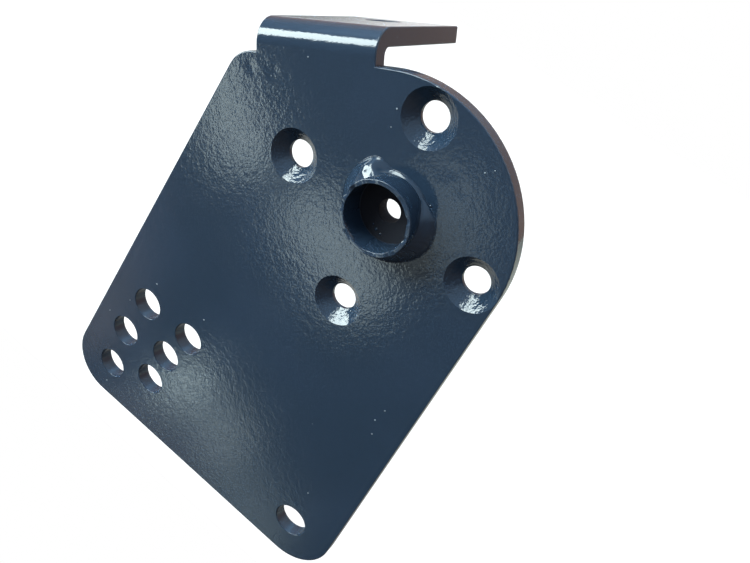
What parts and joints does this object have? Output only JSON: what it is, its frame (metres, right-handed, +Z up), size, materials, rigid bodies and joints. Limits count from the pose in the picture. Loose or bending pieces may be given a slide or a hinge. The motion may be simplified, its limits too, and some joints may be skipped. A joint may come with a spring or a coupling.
{
  "type": "roller bracket",
  "caption": "Folded steel end bracket for a roller, with countersunk bearing holes, a pivot hole, setting holes and a welded socket tube.",
  "frame": {"origin": "middle of the bearing's bolt circle, on the plate's back face where the bearing seats", "axes": "+Y out of the back face, the way the flange is folded; +Z up along the long straight edge, towards the flange; +X across the plate, towards the straight edge"},
  "size_m": [0.205, 0.0953, 0.2929],
  "materials": {
    "paint": "glossy dark blue paint with a fine orange-peel texture"
  },
  "bodies": {
    "root": {"bracket_plate": "paint", "socket_tube": "paint", "weld_bead": "paint"}
  },
  "joints": []
}
